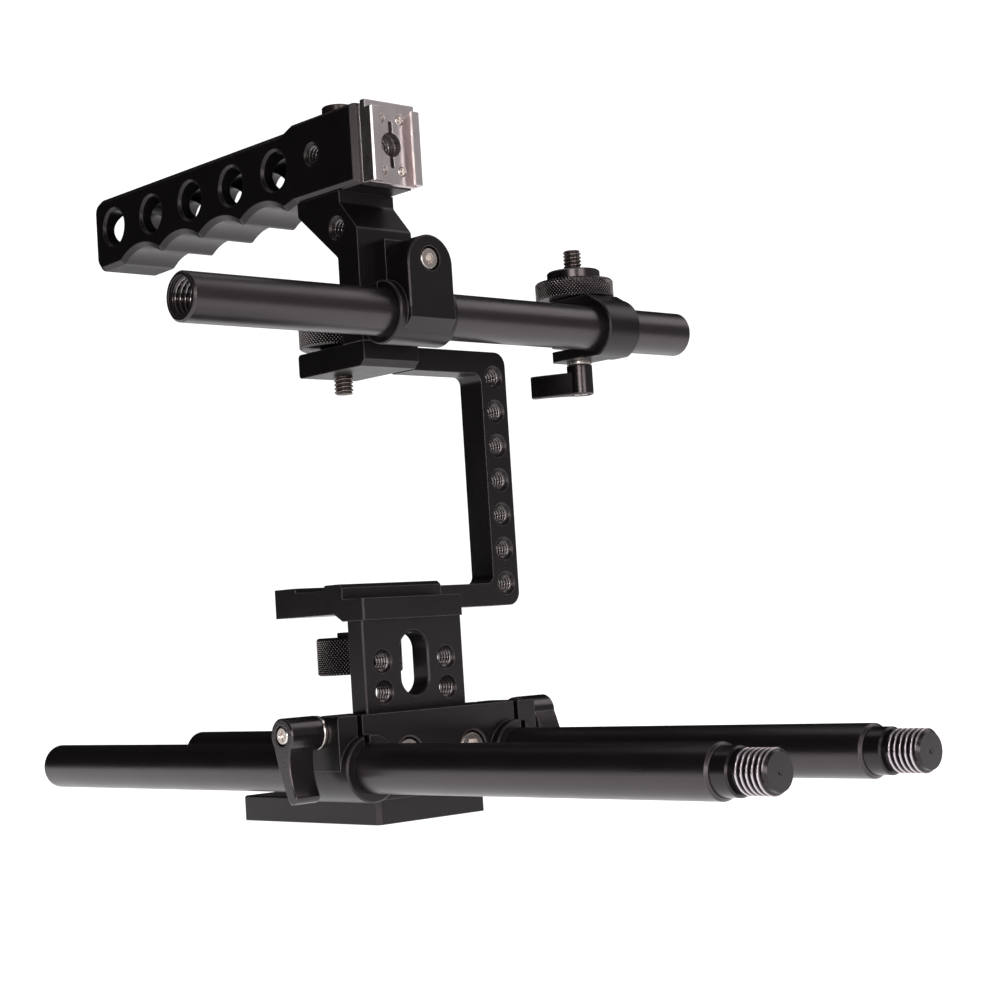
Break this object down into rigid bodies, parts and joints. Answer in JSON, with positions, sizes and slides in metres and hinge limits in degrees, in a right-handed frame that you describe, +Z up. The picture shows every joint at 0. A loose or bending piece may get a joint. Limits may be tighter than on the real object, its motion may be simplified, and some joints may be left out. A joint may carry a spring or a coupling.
{
  "type": "cinema camera rig",
  "caption": "Camera support rig: 15 mm rods on a clamp block, riser, camera plate, side bracket, top grip handle with cold shoe, cross rod with accessory stud.",
  "frame": {"origin": "mouth of the 3/8-16 tripod thread, at the centre of the base plate's underside", "axes": "+Z up, -Y towards the lens end of the rods, +X towards the side bracket, on the right seen from the front"},
  "size_m": [0.2096, 0.3358, 0.2305],
  "materials": {
    "black_anodised": "black anodised aluminium, fine bead-blasted grain, bright thin chamfer edges",
    "rod_anodised": "satin black anodised aluminium tube with a soft broad sheen",
    "knurled_black": "diamond-knurled black anodised aluminium",
    "black_steel": "black oxide steel with a slight oily sheen",
    "stainless_steel": "bright stainless steel",
    "nickel_plate": "satin nickel plate",
    "black_nylon": "matt black nylon washer",
    "lever_black": "semi-gloss black powder-coated zinc lever"
  },
  "bodies": {
    "frame": {"base_plate": "black_anodised", "base_plate_screws": "black_steel", "rod_block": "black_anodised", "left_lever_washer": "stainless_steel", "right_lever_washer": "stainless_steel", "riser_plate": "black_anodised", "riser_bolts": "stainless_steel", "camera_plate": "black_anodised", "camera_plate_screws": "black_steel", "side_bracket": "black_anodised", "bracket_lower_screws": "black_steel", "bracket_upper_screws": "black_steel", "riser_foot": "black_anodised", "handle_riser": "black_anodised", "boss_screws": "black_steel", "handle": "black_anodised", "handle_bolt": "black_steel", "handle_dowel": "black_steel", "cold_shoe": "nickel_plate", "cold_shoe_shim": "nickel_plate", "cold_shoe_screws": "stainless_steel", "top_rod_clamp": "black_anodised", "top_clamp_screw": "stainless_steel"},
    "left_rod": {"left_rod": "rod_anodised", "left_rod_connector": "black_steel"},
    "right_rod": {"right_rod": "rod_anodised", "right_rod_connector": "black_steel"},
    "left_lever": {"left_lever": "lever_black", "left_lever_screw": "stainless_steel"},
    "right_lever": {"right_lever": "lever_black", "right_lever_screw": "stainless_steel"},
    "camera_screw_lift": {"camera_knob_washer": "black_nylon"},
    "camera_screw": {"camera_knob": "knurled_black", "camera_screw": "black_steel"},
    "top_screw_lift": {"top_knob_washer": "black_nylon"},
    "top_screw": {"top_knob": "knurled_black", "top_screw": "black_steel"},
    "top_rod": {"top_rod": "rod_anodised"},
    "accessory_clamp": {"accessory_clamp": "black_anodised", "accessory_stud": "black_steel", "accessory_lever_washer": "stainless_steel"},
    "accessory_lever": {"accessory_lever": "lever_black", "accessory_lever_screw": "stainless_steel"},
    "lock_disc": {"accessory_lock_disc": "knurled_black"}
  },
  "joints": [
    {"name": "left_rod_slide", "type": "slide", "parent": "frame", "child": "left_rod", "axis": [0, 1, 0], "range_m": [-0.15, 0.135]},
    {"name": "right_rod_slide", "type": "slide", "parent": "frame", "child": "right_rod", "axis": [0, 1, 0], "range_m": [-0.15, 0.135]},
    {"name": "left_lever_turn", "type": "hinge", "parent": "frame", "child": "left_lever", "pos_m": [-0.047, -0.0312, 0.0296], "axis": [1, 0, 0], "range_deg": [-20, 120]},
    {"name": "right_lever_turn", "type": "hinge", "parent": "frame", "child": "right_lever", "pos_m": [0.047, -0.0312, 0.0296], "axis": [1, 0, 0], "range_deg": [-20, 120]},
    {"name": "camera_screw_rise", "type": "slide", "parent": "frame", "child": "camera_screw_lift", "axis": [0, 0, 1], "range_m": [0, 0.0055]},
    {"name": "camera_screw_turn", "type": "hinge", "parent": "camera_screw_lift", "child": "camera_screw", "pos_m": [0, -0.003, 0.052], "axis": [0, 0, 1], "continuous": true},
    {"name": "top_screw_rise", "type": "slide", "parent": "frame", "child": "top_screw_lift", "axis": [0, 0, 1], "range_m": [0, 0.0058]},
    {"name": "top_screw_turn", "type": "hinge", "parent": "top_screw_lift", "child": "top_screw", "pos_m": [0, -0.003, 0.157], "axis": [0, 0, 1], "continuous": true},
    {"name": "top_rod_slide", "type": "slide", "parent": "frame", "child": "top_rod", "axis": [1, 0, 0], "range_m": [-0.008, 0.065]},
    {"name": "accessory_swing", "type": "hinge", "parent": "top_rod", "child": "accessory_clamp", "pos_m": [0.0873, -0.0381, 0.1574], "axis": [1, 0, 0], "continuous": true},
    {"name": "accessory_lever_turn", "type": "hinge", "parent": "accessory_clamp", "child": "accessory_lever", "pos_m": [0.0873, -0.0251, 0.14], "axis": [0, 0, 1], "continuous": true},
    {"name": "lock_disc_turn", "type": "hinge", "parent": "accessory_clamp", "child": "lock_disc", "pos_m": [0.0873, -0.0251, 0.174], "axis": [0, 0, 1], "continuous": true}
  ]
}
